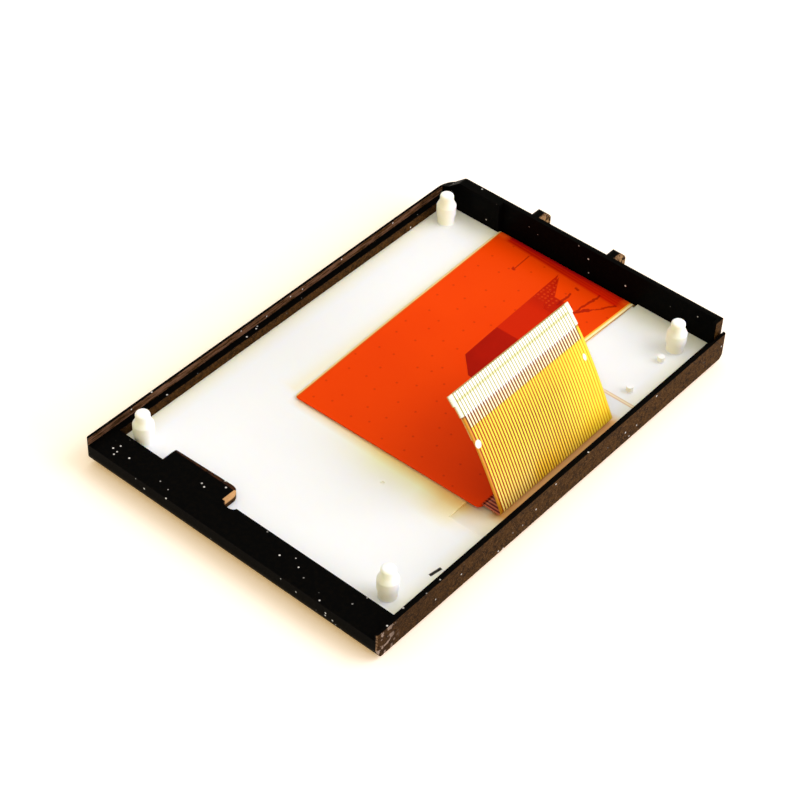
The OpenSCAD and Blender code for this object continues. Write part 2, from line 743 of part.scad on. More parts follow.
// Sheet as wide as the tail, from the distance s0 to the end, where it widens in two steps
module tail_sheet(s0, a, b) {
  along_x(tail_x0, tail_x1) polygon(band(s0, tail_l, a, b));
  along_x(tail_x0 - contact_end_flare, tail_x1 + contact_end_flare)
    polygon(band(tail_l - contact_end_l, tail_l, a, b));
  along_x(tail_x0 - lead_in_flare, tail_x1 + lead_in_flare)
    polygon(band(tail_l - lead_in_l, tail_l, a, b));
}

module main_flex() {
  color([0.9, 0.25, 0.02]) {
    intersection() {
      along_y(flex_y0, flex_far_y) film_profile();
      linear_extrude(z_film + flex_t) film_plan();
    }
    tail_sheet(fold_y - fold_len - flap_y, -flex_t / 2, flex_t / 2);
  }
}

module ground_patch() {
  x1 = bay_x1 - patch_gap;
  y1 = flex_far_y - patch_inset;
  x0 = x1 - patch_l;
  color([0.62, 0.1, 0.03]) intersection() {
    along_y(y1 - patch_w, y1) polygon(ribbon(film_path, flex_t / 2, flex_t / 2 + patch_t));
    linear_extrude(z_film + flex_t) polygon([[x1, y1], [x0, y1 - patch_skew],
      [x0 - patch_slant, y1 - patch_skew - patch_slant], [x0 - patch_slant, y1 - patch_w],
      [x1 - patch_l / 3, y1 - patch_w], [x1 - patch_l / 3, y1 - patch_slant]]);
  }
}

// Middle of one contact across the tail
function contact_x(i) = tail_x0 + tail_margin + i * contact_pitch;

// Row of thin strips that follow the outer face of the tail
module strips(s0, s1, w) {
  for (i = [0:contact_count - 1])
    along_x(contact_x(i) - w / 2, contact_x(i) + w / 2)
      polygon(band(s0, s1, flex_t / 2, flex_t / 2 + trace_t));
}

module tail_traces() {
  color([0.95, 0.72, 0.1]) strips(-fold_len, bare_s, trace_w);
}

module contact_fingers() {
  s1 = tail_l - finger_gap;
  color([0.93, 0.92, 0.85]) strips(s1 - finger_l, s1, finger_w);
}

module tail_stiffener() {
  color([0.85, 0.6, 0.15])
    tail_sheet(tail_l - stiffener_l, -flex_t / 2 - stiffener_t, -flex_t / 2);
}

outer_frame();
backlight_housing();
reflector_film();
light_guide_plate();
diffuser_film();
lower_prism_film();
upper_prism_film();
rim_tape();
lamp_strip();
lamps();
rear_polariser();
array_glass();
colour_filter_glass();
front_polariser();
driver_chip();
bond_strip();
main_flex();
ground_patch();
tail_traces();
contact_fingers();
tail_stiffener();
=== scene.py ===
# %% [markdown]
# # A small display module, seen from the back
#
# The object is a colour display panel about the size of a matchbox. It lies on its
# viewing face, so what we see is its back: a black moulded frame, a white tray with four
# posts, and an orange flexible circuit that comes round one end, lies on the tray and is
# folded up into a tail with forty-five contacts.
#
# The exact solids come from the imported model. This lesson dresses them: it gives the film
# a smooth surface, softens moulded edges, and writes a material for every piece.

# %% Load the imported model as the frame
import math
import bpy
import bmesh
import numpy as np
from mathutils import Matrix, Vector


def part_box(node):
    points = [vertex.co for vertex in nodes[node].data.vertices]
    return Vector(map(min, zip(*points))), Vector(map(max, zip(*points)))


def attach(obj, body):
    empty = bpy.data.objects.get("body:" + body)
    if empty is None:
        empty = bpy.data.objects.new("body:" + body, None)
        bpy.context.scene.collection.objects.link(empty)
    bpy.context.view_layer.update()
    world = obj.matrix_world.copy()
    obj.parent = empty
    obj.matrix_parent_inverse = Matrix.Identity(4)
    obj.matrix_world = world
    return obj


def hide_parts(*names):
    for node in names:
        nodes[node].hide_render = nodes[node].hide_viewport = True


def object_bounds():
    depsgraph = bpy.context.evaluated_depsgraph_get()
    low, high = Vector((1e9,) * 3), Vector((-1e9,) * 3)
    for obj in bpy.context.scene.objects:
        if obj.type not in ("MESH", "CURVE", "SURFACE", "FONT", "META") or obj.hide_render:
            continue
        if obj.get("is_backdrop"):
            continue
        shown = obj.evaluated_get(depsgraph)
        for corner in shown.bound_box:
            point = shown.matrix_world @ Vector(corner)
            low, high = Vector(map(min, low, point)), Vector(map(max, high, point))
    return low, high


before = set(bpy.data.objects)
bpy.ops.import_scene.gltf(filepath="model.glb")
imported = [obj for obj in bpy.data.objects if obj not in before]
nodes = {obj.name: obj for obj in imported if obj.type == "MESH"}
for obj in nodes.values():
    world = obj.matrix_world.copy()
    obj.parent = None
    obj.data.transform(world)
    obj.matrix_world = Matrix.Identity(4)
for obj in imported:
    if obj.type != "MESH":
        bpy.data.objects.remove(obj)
cad_low, cad_high = (list(map(float, c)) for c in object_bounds())
MM = 0.001
size_mm = [round((high - low) / MM, 2) for low, high in zip(cad_low, cad_high)]
print("nodes:", len(nodes), "size in mm:", size_mm)


# %% [markdown]
# ## Camera
#
# A camera is a place and three directions. It is clearest to say what it looks at, from
# which side, from how high, and from how far, and to work the directions out from that.
# The long lens keeps the module's edges nearly parallel, as a close-up from a
# little distance does.

# %% Aim the camera
VIEW_SIDE = math.radians(-51.05)
VIEW_HEIGHT = math.radians(43.66)
VIEW_ROLL = math.radians(2.39)
VIEW_DISTANCE = 0.2958
VIEW_TARGET = Vector((0.0001, 0.0027, 0.0))
LENS_MM = 99.2
SENSOR_MM = 36.0
NEAREST = 0.01


def view_axes(side, height, roll):
    """Right, up and back directions of a camera: back points from the target to the
    camera, right is level before the roll, and the roll turns right towards up."""
    level_share = math.cos(height)
    back = Vector((math.sin(side) * level_share, -math.cos(side) * level_share, math.sin(height)))
    level = Vector((math.cos(side), math.sin(side), 0.0))
    lift = back.cross(level)
    right = level * math.cos(roll) + lift * math.sin(roll)
    return right, back.cross(right), back


right, up, back = view_axes(VIEW_SIDE, VIEW_HEIGHT, VIEW_ROLL)
camera = bpy.data.objects.new("camera", bpy.data.cameras.new("camera"))
camera.data.lens = LENS_MM
camera.data.sensor_width = SENSOR_MM
camera.data.clip_start = NEAREST
turn = Matrix((right, up, back)).transposed().to_4x4()
camera.matrix_world = Matrix.Translation(VIEW_TARGET + back * VIEW_DISTANCE) @ turn
bpy.context.scene.collection.objects.link(camera)
bpy.context.scene.camera = camera
bpy.context.scene.view_settings.view_transform = "Standard"
print("camera at", [round(c, 4) for c in camera.location])


# %% [markdown]
# ## Light and floor
#
# Small parts are often shown on a white sheet under soft light. Here an even, slightly
# warm world does most of the work, because it fills the narrow places. Three large, soft
# lamps add direction: a key from one side, a weak one from above, and a low fill that
# lights the upright faces. They are a little cooler than the world, so shadows look warm.
# The floor is white. It also glows by a small share, only for rays that come straight
# from the camera or through gloss, so that it is white there while the shadow stays.

# %% Lamps and world
LAMP_COLOUR = (1.16, 1.15, 1.30)
WORLD_COLOUR = (1.0, 0.95, 0.80, 1)
WORLD_STRENGTH = 0.77


def area_lamp(name, place, size, watts):
    """Square lamp of the given size that points from its place to the origin."""
    lamp = bpy.data.objects.new(name, bpy.data.lights.new(name, "AREA"))
    lamp.data.size = size
    lamp.data.energy = watts
    lamp.data.color = LAMP_COLOUR
    place = Vector(place)
    aim = (-place).to_track_quat("-Z", "Y").to_matrix().to_4x4()
    lamp.matrix_world = Matrix.Translation(place) @ aim
    bpy.context.scene.collection.objects.link(lamp)


area_lamp("key", (0.46, -0.56, 0.62), 0.60, 3.4)
area_lamp("top", (0.30, -0.15, 1.05), 1.00, 1.4)
area_lamp("fill", (0.15, -0.95, 0.22), 0.50, 3.3)
world = bpy.data.worlds.new("world")
bpy.context.scene.world = world
world.use_nodes = True
sky = world.node_tree.nodes["Background"].inputs
sky["Color"].default_value = WORLD_COLOUR
sky["Strength"].default_value = WORLD_STRENGTH


# %% [markdown]
# ## Materials as nodes
#
# Every finish here is worked out by nodes, so it needs no picture. A node is a small sum
# with inputs and outputs. Setting up dozens of them by hand hides the idea behind the
# wiring, so a helper class adds one node per call. Places are read in millimetres on the
# object itself, and a pattern stays where it is from every side. A mask is a number
# between 0 and 1 that says how strongly a colour is painted at a point.

# %% A small helper that builds node materials
class Shader:
    """A material under construction: each call adds one node and returns its output."""

    def __init__(self, name):
        self.material = bpy.data.materials.new(name)
        self.material.use_nodes = True
        self.tree = self.material.node_tree
        self.bsdf = self.tree.nodes["Principled BSDF"]
        self.out = self.tree.nodes["Material Output"]

    def link(self, value, socket):
        """Puts a number, a colour or another node's output into a socket."""
        if isinstance(value, bpy.types.NodeSocket):
            self.tree.links.new(value, socket)
        elif isinstance(value, (tuple, list)) and len(value) == 3 and socket.type == "RGBA":
            socket.default_value = (*value, 1)
        else:
            socket.default_value = value

    def set(self, **values):
        """Sets the surface shader's sockets, named with underscores for spaces."""
        for key, value in values.items():
            self.link(value, self.bsdf.inputs[key.replace("_", " ")])
        return self

    def node(self, kind, inputs=None, **settings):
        """Adds a node, sets its options, fills its inputs and returns the node."""
        n = self.tree.nodes.new("ShaderNode" + kind)
        for key, value in settings.items():
            setattr(n, key, value)
        for key, value in (inputs or {}).items():
            self.link(value, n.inputs[key])
        return n

    def place(self):
        """The point on the object, in millimetres."""
        coords = self.node("TexCoord").outputs["Object"]
        return self.vector("MULTIPLY", coords, (1 / MM, 1 / MM, 1 / MM))

    def uv(self):
        """The piece's own flat coordinates."""
        return self.node("UVMap", uv_map="film").outputs[0]

    def facing(self):
        """The direction in which the surface looks, on the object's own axes."""
        return self.node("TexCoord").outputs["Normal"]

    def split(self, vector):
        """The three parts of a vector."""
        return self.node("SeparateXYZ", {0: vector}).outputs

    def times(self, *values):
        """The product of several numbers or masks."""
        total = values[0]
        for value in values[1:]:
            total = self.math("MULTIPLY", total, value)
        return total

    def math(self, kind, a, b=0.0, c=0.0):
        """One sum or comparison of two or three numbers."""
        return self.node("Math", {0: a, 1: b, 2: c}, operation=kind).outputs[0]

    def vector(self, kind, a, b):
        """One sum, difference or product of two vectors, or a vector scaled by a number."""
        second = "Scale" if kind == "SCALE" else 1
        return self.node("VectorMath", {0: a, second: b}, operation=kind).outputs[0]

    def noise(self, vector, scale, detail=2.0, rough=0.5):
        """Cloudy noise between 0 and 1, with about `scale` clouds to the millimetre."""
        return self.node("TexNoise", {"Vector": vector, "Scale": scale, "Detail": detail,
                                      "Roughness": rough}).outputs["Fac"]

    def ramp(self, value, low, high, out_low=0.0, out_high=1.0):
        """A straight ramp from out_low at low to out_high at high, level outside."""
        return self.node("MapRange", {"Value": value, "From Min": low, "From Max": high,
                                      "To Min": out_low, "To Max": out_high}, clamp=True).outputs[0]

    def mix(self, share, a, b):
        """Colour a turned into colour b by the share."""
        n = self.node("Mix", data_type="RGBA")
        self.link(share, n.inputs[0])
        self.link(a, n.inputs[6])
        self.link(b, n.inputs[7])
        return n.outputs[2]

    def paint(self, base, colour, *masks):
        """The base turned into another colour by the product of the masks and shares."""
        return self.mix(self.times(*masks), base, colour)

    def window(self, value, low, high, soft=0.05):
        """1 between low and high and 0 outside, with soft edges."""
        rise = self.ramp(value, low - soft, low + soft)
        fall = self.ramp(value, high - soft, high + soft, 1.0, 0.0)
        return self.math("MULTIPLY", rise, fall)

    def stroke(self, p, start, end, half, soft=0.06):
        """1 within the distance half of a straight line on the film from start to end, in
        millimetres. The nearest point of the line is the start plus the share t of the
        line, where t is the point's shadow on the line, kept between 0 and 1."""
        a = Vector((*start, 0.0))
        d = Vector((*end, 0.0)) - a
        off = self.vector("SUBTRACT", self.vector("MULTIPLY", p, (1, 1, 0)), a)
        shadow = self.node("VectorMath", {0: off, 1: d / d.length_squared}, operation="DOT_PRODUCT")
        near = self.vector("SCALE", d, self.ramp(shadow.outputs["Value"], 0.0, 1.0))
        gap = self.node("VectorMath", {0: off, 1: near}, operation="DISTANCE").outputs["Value"]
        return self.ramp(gap, half - soft, half + soft, 1.0, 0.0)

    def cells(self, p, scale, random, dimensions="3D"):
        """Distance to the nearest of many scattered points, `scale` of them to the mm."""
        return self.node("TexVoronoi", {"Vector": p, "Scale": scale, "Randomness": random},
                         voronoi_dimensions=dimensions).outputs["Distance"]

    def bump(self, height, strength, distance):
        """A fine relief that bends the shading only."""
        return self.node("Bump", {"Height": height, "Strength": strength,
                                  "Distance": distance}).outputs[0]


def dress(obj, material):
    """Puts one material on every slot of an object."""
    if not obj.material_slots:
        obj.data.materials.append(material)
    for slot in obj.material_slots:
        slot.material = material


print("helper ready")

# %% Floor
FLOOR_HALF = 2.0
FLOOR_GAP = 0.00002
WARM_FROM, WHITE_FROM = 90, 220
corners = [(-1, -1), (1, -1), (1, 1), (-1, 1)]
floor_mesh = bpy.data.meshes.new("floor")
floor_mesh.from_pydata([(FLOOR_HALF * a, FLOOR_HALF * b, 0) for a, b in corners], [], [(0, 1, 2, 3)])
floor = bpy.data.objects.new("floor", floor_mesh)
floor.location.z = cad_low[2] - FLOOR_GAP
bpy.context.scene.collection.objects.link(floor)
s = Shader("white_floor")
s.set(Base_Color=(0.95, 0.97, 1.0), Roughness=0.8, Specular_IOR_Level=0.0)
path = s.node("LightPath").outputs
seen = s.math("MAXIMUM", path["Is Camera Ray"],
              s.math("MAXIMUM", path["Is Glossy Ray"], path["Is Transmission Ray"]))

# The glow is faint and warm round the object, and plain white farther out
spot = s.node("VectorMath", {0: s.place()}, operation="LENGTH").outputs["Value"]
tint = s.mix(s.ramp(spot, WARM_FROM, WHITE_FROM), (1.0, 0.52, 0.02), (1.0, 1.0, 1.0))
strength = s.math("MULTIPLY", seen, s.ramp(spot, WARM_FROM, WHITE_FROM, 0.33, 1.0))
glow = s.node("Emission", {"Color": tint, "Strength": strength})
both = s.node("AddShader")
s.tree.links.new(s.bsdf.outputs[0], both.inputs[0])
s.tree.links.new(glow.outputs[0], both.inputs[1])
s.tree.links.new(both.outputs[0], s.out.inputs[0])
dress(floor, s.material)
floor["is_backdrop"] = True
print("floor at", floor.location.z)


# %% [markdown]
# ## The moulded frame
#
# The frame is black moulded plastic with a fine satin grain. Its edges are not razor
# sharp: a narrow bevel catches a line of light, partly painted, and white dust sits on it.
# The exact solid is copied, its loose triangles are merged into clean faces, and a Bevel
# modifier rounds every edge that turns by more than the given angle. The brown on its outer
# faces is painted light: it is painted on the faces that look to the near side, where the lamps fall.

# %% Copy a solid with softened edges
MERGE = 1e-6
FLAT_TURN = math.radians(1)
SHARP_TURN = math.radians(12)
BEVEL_STEPS = 2


def softened(node, name, width, angle):
    """A merged copy of a CAD node's mesh, with its flat faces joined and a bevel of the
    given width in metres on edges that turn by more than the angle in degrees."""
    mesh = nodes[node].data.copy()
    mesh.name = name
    mesh.materials.clear()
    b = bmesh.new()
    b.from_mesh(mesh)
    bmesh.ops.remove_doubles(b, verts=b.verts, dist=MERGE)
    bmesh.ops.dissolve_limit(b, angle_limit=FLAT_TURN, verts=b.verts, edges=b.edges)
    for f in b.faces:
        f.smooth = True
    b.to_mesh(mesh)
    b.free()
    mesh.set_sharp_from_angle(angle=SHARP_TURN)
    obj = bpy.data.objects.new(name, mesh)
    bpy.context.scene.collection.objects.link(obj)
    bevel = obj.modifiers.new("edge", "BEVEL")
    bevel.width = width
    bevel.segments = BEVEL_STEPS
    bevel.limit_method = "ANGLE"
    bevel.angle_limit = math.radians(angle)
    bevel.harden_normals = True
    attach(obj, "root")
    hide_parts(node)
    print(name, "faces:", len(mesh.polygons))
    return obj


moulding = softened("outer_frame", "frame_moulding", 0.09 * MM, 35)

# %% Black satin plastic with dust
LONG_WALL, TALL_WALL, PLATE_EDGE, LUGS = 22.4, 35.8, -29.0, 36.2
s = Shader("black_moulding")
p = s.place()
x, y, z = s.split(p)
facing = s.split(s.facing())
towards = s.math("MULTIPLY", facing["Y"], -1.0)
grain = s.noise(p, 6.0, 4.0, 0.6)
mottle = s.noise(p, 1.6, 4.0, 0.65)
colour = s.mix(s.ramp(mottle, 0.45, 0.8), (0.0012, 0.0012, 0.0012), (0.0035, 0.0025, 0.0016))

# Painted light: brown on the outer faces that look to the near side, where the lamps fall; coarser on the
# lugs and darker towards the plain end
outside = s.math("MAXIMUM", s.ramp(s.math("ABSOLUTE", y), LONG_WALL, LONG_WALL + 0.2),
                 s.math("MAXIMUM", s.ramp(x, TALL_WALL, TALL_WALL + 0.2),
                        s.ramp(x, PLATE_EDGE, PLATE_EDGE - 0.2)))
painted_lit_brown = s.mix(s.ramp(mottle, 0.36, 0.62), (0.010, 0.0035, 0.0004), (0.056, 0.023, 0.004))
painted_lit_brown = s.paint(painted_lit_brown, (0.115, 0.055, 0.019), s.ramp(grain, 0.52, 0.66))
coarse = s.ramp(s.noise(p, 1.7, 3.0, 0.65), 0.44, 0.56)
lug = s.mix(coarse, (0.008, 0.003, 0.001), (0.30, 0.17, 0.07))
painted_lit_brown = s.paint(painted_lit_brown, lug, s.ramp(x, LUGS, LUGS + 0.1))
painted_lit_brown = s.paint(painted_lit_brown, (0.012, 0.004, 0.0005), s.ramp(x, -10.0, -34.0, 0.0, 0.45))
colour = s.paint(colour, painted_lit_brown, s.ramp(towards, 0.25, 0.75), outside)

# Painted highlights: a pale line where the bevel turns towards the near side, and pale streaks on the far
# wall's upper step, on its faces that look to the near side
colour = s.paint(colour, (0.30, 0.17, 0.09), s.window(towards, 0.35, 0.85, 0.12),
                 s.ramp(grain, 0.42, 0.56), outside, 0.8)
streak = s.noise(s.vector("MULTIPLY", p, (0.35, 1.0, 3.0)), 1.5, 3.0, 0.6)
colour = s.paint(colour, (0.19, 0.095, 0.055), s.ramp(y, 23.8, 24.0), s.ramp(towards, 0.4, 0.8),
                 s.ramp(streak, 0.4, 0.6), 0.75)

# Painted highlight in pale specks near the plain end's corner, on faces that look to the near side, and a
# brown lower edge on the end face, painted as the reflection of the floor's shadow
colour = s.paint(colour, (0.34, 0.24, 0.18), s.ramp(s.noise(p, 1.2, 2.0), 0.56, 0.6),
                 s.ramp(x, -32.0, -34.5), s.ramp(towards, 0.3, 0.7), s.ramp(y, -24.0, -24.3), 0.7)
colour = s.paint(colour, (0.12, 0.05, 0.012), s.ramp(z, 1.5, 0.7), s.ramp(x, -35.0, -35.4),
                 s.ramp(facing["X"], -0.2, -0.5), 0.7)

# Painted light: reddish brown on the tab's free side, which looks to +X, and a painted highlight on its
# short side
on_tab = s.times(s.window(x, -31.6, -28.2), s.window(y, 4.0, 16.5), s.ramp(z, 2.9, 3.1))
colour = s.paint(colour, (0.05, 0.014, 0.003), on_tab, s.ramp(facing["X"], 0.15, 0.4),
                 s.ramp(mottle, 0.35, 0.6), 0.85)
colour = s.paint(colour, (0.62, 0.34, 0.14), on_tab, s.ramp(towards, 0.3, 0.7),
                 s.ramp(z, 4.2, 3.6), 0.8)

# Dust: small bright dots, in a few places only
dust = s.times(s.ramp(s.cells(p, 0.8, 1.0), 0.07, 0.13, 1.0, 0.0), s.ramp(s.noise(p, 0.35, 1.0), 0.5, 0.58))
s.set(Base_Color=s.paint(colour, (0.75, 0.72, 0.68), dust), Roughness=s.ramp(grain, 0.3, 0.7, 0.36, 0.52),
      Specular_IOR_Level=0.012, Normal=s.bump(grain, 0.25, 0.00003))
dress(moulding, s.material)
print("frame dressed")


# %% [markdown]
# ## The white tray
#
# The tray is white moulded plastic, with four stepped posts that stand up through the
# frame. White plastic lets a little light in below its surface, so its edges look soft.
# Near the walls and beside the film it is cream to orange: this is painted shade where the
# walls, the posts and the tail shade it, and painted orange light that the film throws onto
# it. The small slot goes through; its walls and the film behind it are painted dark, as the
# shade inside it.

# %% Mask of the slot
SLOT = (-21.95, -21.85)
SLOT_TURN = math.radians(-9)
SLOT_SHADE = (0.012, 0.006, 0.004)


def slot_mask(s, x, y, half_l, half_w):
    """1 inside a turned rectangle round the small slot, and 0 outside: the distances along
    and across it are x and y turned by the slot's angle."""
    turn_x, turn_y = math.cos(SLOT_TURN), math.sin(SLOT_TURN)
    dx = s.math("SUBTRACT", x, SLOT[0])
    dy = s.math("SUBTRACT", y, SLOT[1])
    u = s.math("ADD", s.math("MULTIPLY", dx, turn_x), s.math("MULTIPLY", dy, turn_y))
    v = s.math("SUBTRACT", s.math("MULTIPLY", dy, turn_x), s.math("MULTIPLY", dx, turn_y))
    return s.times(s.window(u, -half_l, half_l, 0.03), s.window(v, -half_w, half_w, 0.03))


# %% White tray
tray = softened("backlight_housing", "tray_moulding", 0.05 * MM, 40)
s = Shader("white_moulding")
p = s.place()
x, y, z = s.split(p)
fine = s.noise(p, 9.0, 3.0)
white = s.mix(s.noise(p, 0.12, 3.0), (0.96, 0.955, 0.93), (0.98, 0.975, 0.96))

# Painted shade: cream along the walls, and on the posts' sides that look to the plain end, away from the
# lamps
wall_shade = s.math("MAXIMUM", s.ramp(x, 29.5, 35.5), s.ramp(s.math("ABSOLUTE", y), 20.5, 23.5))
white = s.paint(white, (1.0, 0.91, 0.60), wall_shade, s.ramp(z, 3.2, 2.3), 0.8)
white = s.paint(white, (1.0, 0.90, 0.56), s.ramp(s.split(s.facing())["X"], -0.1, -0.9),
                s.ramp(z, 2.3, 2.5), 0.65)

# Painted shadow and bounced orange light: yellow to brown beside the film's free edge, where the tail and
# the film's lifted edge shade the tray, and painted peach shade at its near corner and by the fold
free = s.ramp(x, -9.0, -10.5)
shadow_beside = s.times(s.ramp(x, -18.5, -10.8), free, s.ramp(y, -19.5, -17.5), s.ramp(y, 12.0, -4.0))
white = s.paint(white, (1.0, 0.93, 0.38), s.times(shadow_beside, shadow_beside), 0.9)
white = s.paint(white, (0.90, 0.54, 0.16), s.ramp(x, -16.0, -11.0), free, s.ramp(y, -11.0, -14.5),
                s.ramp(y, -23.6, -16.0), 0.75)
white = s.paint(white, (1.0, 0.70, 0.32), s.ramp(x, -14.5, -9.8), s.ramp(x, -4.0, -8.0),
                s.ramp(y, -18.0, -19.4), s.ramp(y, -24.0, -22.0), 0.65)
white = s.paint(white, (0.9, 0.5, 0.14), s.ramp(x, -12.3, -10.8), free,
                s.window(y, -18.5, 11.5, 0.8), 0.6)

# Painted light and shade: orange under the fold, where light through the amber film falls into its shade;
# painted shade on the relief's slope beside the tail; and a painted soft tan shadow along the film's far
# edge
white = s.paint(white, (1.0, 0.44, 0.10), s.window(x, -9.8, 15.0, 0.8),
                s.window(y, -23.3, -20.6, 0.3), 0.9)
relief_shade = s.mix(s.window(x, 18.15, 18.35, 0.05), (0.78, 0.42, 0.16), (0.97, 0.78, 0.48))
white = s.paint(white, relief_shade, s.window(x, 18.02, 18.45, 0.06), s.ramp(y, -16.5, -18.0),
                s.window(z, 1.6, 2.3, 0.05), 0.8)
side = s.times(s.ramp(y, 16.6, 13.2), s.ramp(y, 11.5, 12.6), s.ramp(x, -11.0, -9.5))
white = s.paint(white, (0.95, 0.78, 0.36), s.times(side, side), 0.4)
# The slot's walls are painted dark, as the shade inside it
white = s.paint(white, SLOT_SHADE, slot_mask(s, x, y, 0.95, 0.22))
s.set(Base_Color=white, Roughness=s.ramp(fine, 0.3, 0.7, 0.42, 0.55), Specular_IOR_Level=0.3,
      Subsurface_Weight=0.45, Subsurface_Radius=(1.0, 0.75, 0.45), Subsurface_Scale=0.0012,
      Normal=s.bump(fine, 0.08, 0.00002))
dress(tray, s.material)
print("tray dressed")


# %% [markdown]
# ## The flexible circuit
#
# The circuit is one thin film of amber polyimide over copper. It is worked out as two
# sheets. The first follows the film's course along X: from its bond on the glass, round
# the end of the tray, and along the tray's back to its free edge. The second is the tail,
# which turns up round a tight fold and leans back in a gentle curve. Each sheet is a
# function of two parameters on a grid, and a Solidify modifier gives it its thickness.

# %% Sizes of the film, read from the frame
film_low, film_high = (np.array(c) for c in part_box("main_flex"))
bond_low = np.array(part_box("bond_strip")[0])
traces_low, traces_high = (np.array(c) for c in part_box("tail_traces"))
FILM_T = 0.13 * MM
TRACE_T = 0.03 * MM
TRACE_W = 0.26 * MM
FINGER_W = 0.34 * MM
CONTACTS = 45
PITCH = (traces_high[0] - traces_low[0] - TRACE_W) / (CONTACTS - 1)
UV_SCALE = 10
print("film box in mm:", (film_low / MM).round(2), (film_high / MM).round(2))
print("pitch in mm:", round(PITCH / MM, 3))

# %% Course of the film and of its tail
TAIL_L = 17.2 * MM
WIDER = ((3.2 * MM, 0.15 * MM), (1.5 * MM, 0.35 * MM))
STEP_HALF = 0.01 * MM
FINGER_L = 4.9 * MM
TIP_GAP = 0.1 * MM
TRACE_GAP = 0.01 * MM
SLOPE_FOOT = math.radians(63.5)
SLOPE_END = math.radians(46)
FOLD_R = 0.35 * MM
MARGIN = 0.75 * MM
SIDE_LAP = 0.3 * MM
TAIL_X0 = traces_low[0] + TRACE_W / 2 - MARGIN
TAIL_X1 = traces_high[0] - TRACE_W / 2 + MARGIN
BACK_Z = 2.2 * MM
RISE = 0.2 * MM
FOOT_STRIP = 2.8 * MM
FOOT_Y = film_low[1] + FOOT_STRIP
FOLD_Y = film_low[1] + FOLD_R + FILM_T / 2
FOLD_TURN = math.pi - SLOPE_FOOT
FOLD_LEN = FOLD_R * FOLD_TURN
FLAT_Z = BACK_Z + FILM_T / 2
TAIL_Z = FLAT_Z + RISE


def running_sum(values, t):
    """Sum of the values over t, from 0 on: each step adds the mean of its two ends times
    its length."""
    return np.concatenate([[0], np.cumsum((values[1:] + values[:-1]) / 2 * np.diff(t))])


def tail_course(s):
    """Middle line of the tail, as (y, z) and slope, at distances s from its foot. Above
    the foot the slope falls with the square of s and the line is its running sum. Between
    -FOLD_LEN and 0 the line is an arc, and below that it is level."""
    s = np.asarray(s, float)
    t = np.linspace(0, TAIL_L, 400)
    slope = SLOPE_FOOT - (SLOPE_FOOT - SLOPE_END) * (t / TAIL_L) ** 2
    foot_turn = -math.pi / 2 - FOLD_TURN
    y = FOLD_Y + FOLD_R * math.cos(foot_turn) + np.interp(s, t, running_sum(np.cos(slope), t))
    z = TAIL_Z + FOLD_R + FOLD_R * math.sin(foot_turn) + np.interp(s, t, running_sum(np.sin(slope), t))
    a = SLOPE_FOOT - (SLOPE_FOOT - SLOPE_END) * (np.clip(s, 0, None) / TAIL_L) ** 2
    arc = (s < 0) & (s >= -FOLD_LEN)
    theta = -math.pi / 2 - FOLD_TURN * (1 + s / FOLD_LEN)
    y = np.where(arc, FOLD_Y + FOLD_R * np.cos(theta), y)
    z = np.where(arc, TAIL_Z + FOLD_R + FOLD_R * np.sin(theta), z)
    a = np.where(arc, math.pi - FOLD_TURN * (1 + s / FOLD_LEN), a)
    flat = s < -FOLD_LEN
    y = np.where(flat, FOLD_Y - s - FOLD_LEN, y)
    z = np.where(flat, TAIL_Z, z)
    a = np.where(flat, math.pi, a)
    return y, z, a


print("tail ends at (y, z) in mm:", [round(float(v[-1]) / MM, 2) for v in tail_course([TAIL_L])[:2]])

# %% Turn grids into meshes
def grid_faces(rows, columns):
    """Corner numbers of the squares of a grid stored row by row."""
    r, c = np.meshgrid(np.arange(rows - 1), np.arange(columns - 1), indexing="ij")
    a = r * columns + c
    return np.stack([a, a + 1, a + columns + 1, a + columns], axis=-1).reshape(-1, 4)


def mesh_piece(name, points, faces, uv, smooth=True):
    """A new object from arrays of points, four-cornered faces and flat coordinates."""
    mesh = bpy.data.meshes.new(name)
    mesh.vertices.add(len(points))
    mesh.vertices.foreach_set("co", np.asarray(points, np.float32).ravel())
    mesh.loops.add(faces.size)
    mesh.loops.foreach_set("vertex_index", faces.astype(np.int32).ravel())
    mesh.polygons.add(len(faces))
    mesh.polygons.foreach_set("loop_start", np.arange(0, faces.size, 4, dtype=np.int32))
    mesh.polygons.foreach_set("use_smooth", np.full(len(faces), smooth))
    mesh.update(calc_edges=True)
    layer = mesh.uv_layers.new(name="film")
    layer.data.foreach_set("uv", np.asarray(uv, np.float32)[faces.ravel()].ravel())
    obj = bpy.data.objects.new(name, mesh)
    bpy.context.scene.collection.objects.link(obj)
    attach(obj, "root")
    return obj


# %% Sheet on the back of the tray
FAR_Y = film_high[1]
DRIFT = 1.6 * MM
NEAR_Y = bond_low[1]
NECK_RISE = 0.2 * MM
WRAP_R = (FLAT_Z - (bond_low[2] - FILM_T / 2)) / 2
WRAP_Z = (FLAT_Z + bond_low[2] - FILM_T / 2) / 2
WRAP_X = film_high[0] - FILM_T / 2 - WRAP_R
NECK_X = TAIL_X1 + SIDE_LAP
FREE_CORNER = 0.6 * MM
FOOT_CORNER = 0.7 * MM
NECK_CORNER = 0.8 * MM
NECK_STEP = 0.02 * MM
RISE_START = 1.1 * MM
SLANT = 0.6 * MM
WAVE = 0.035 * MM


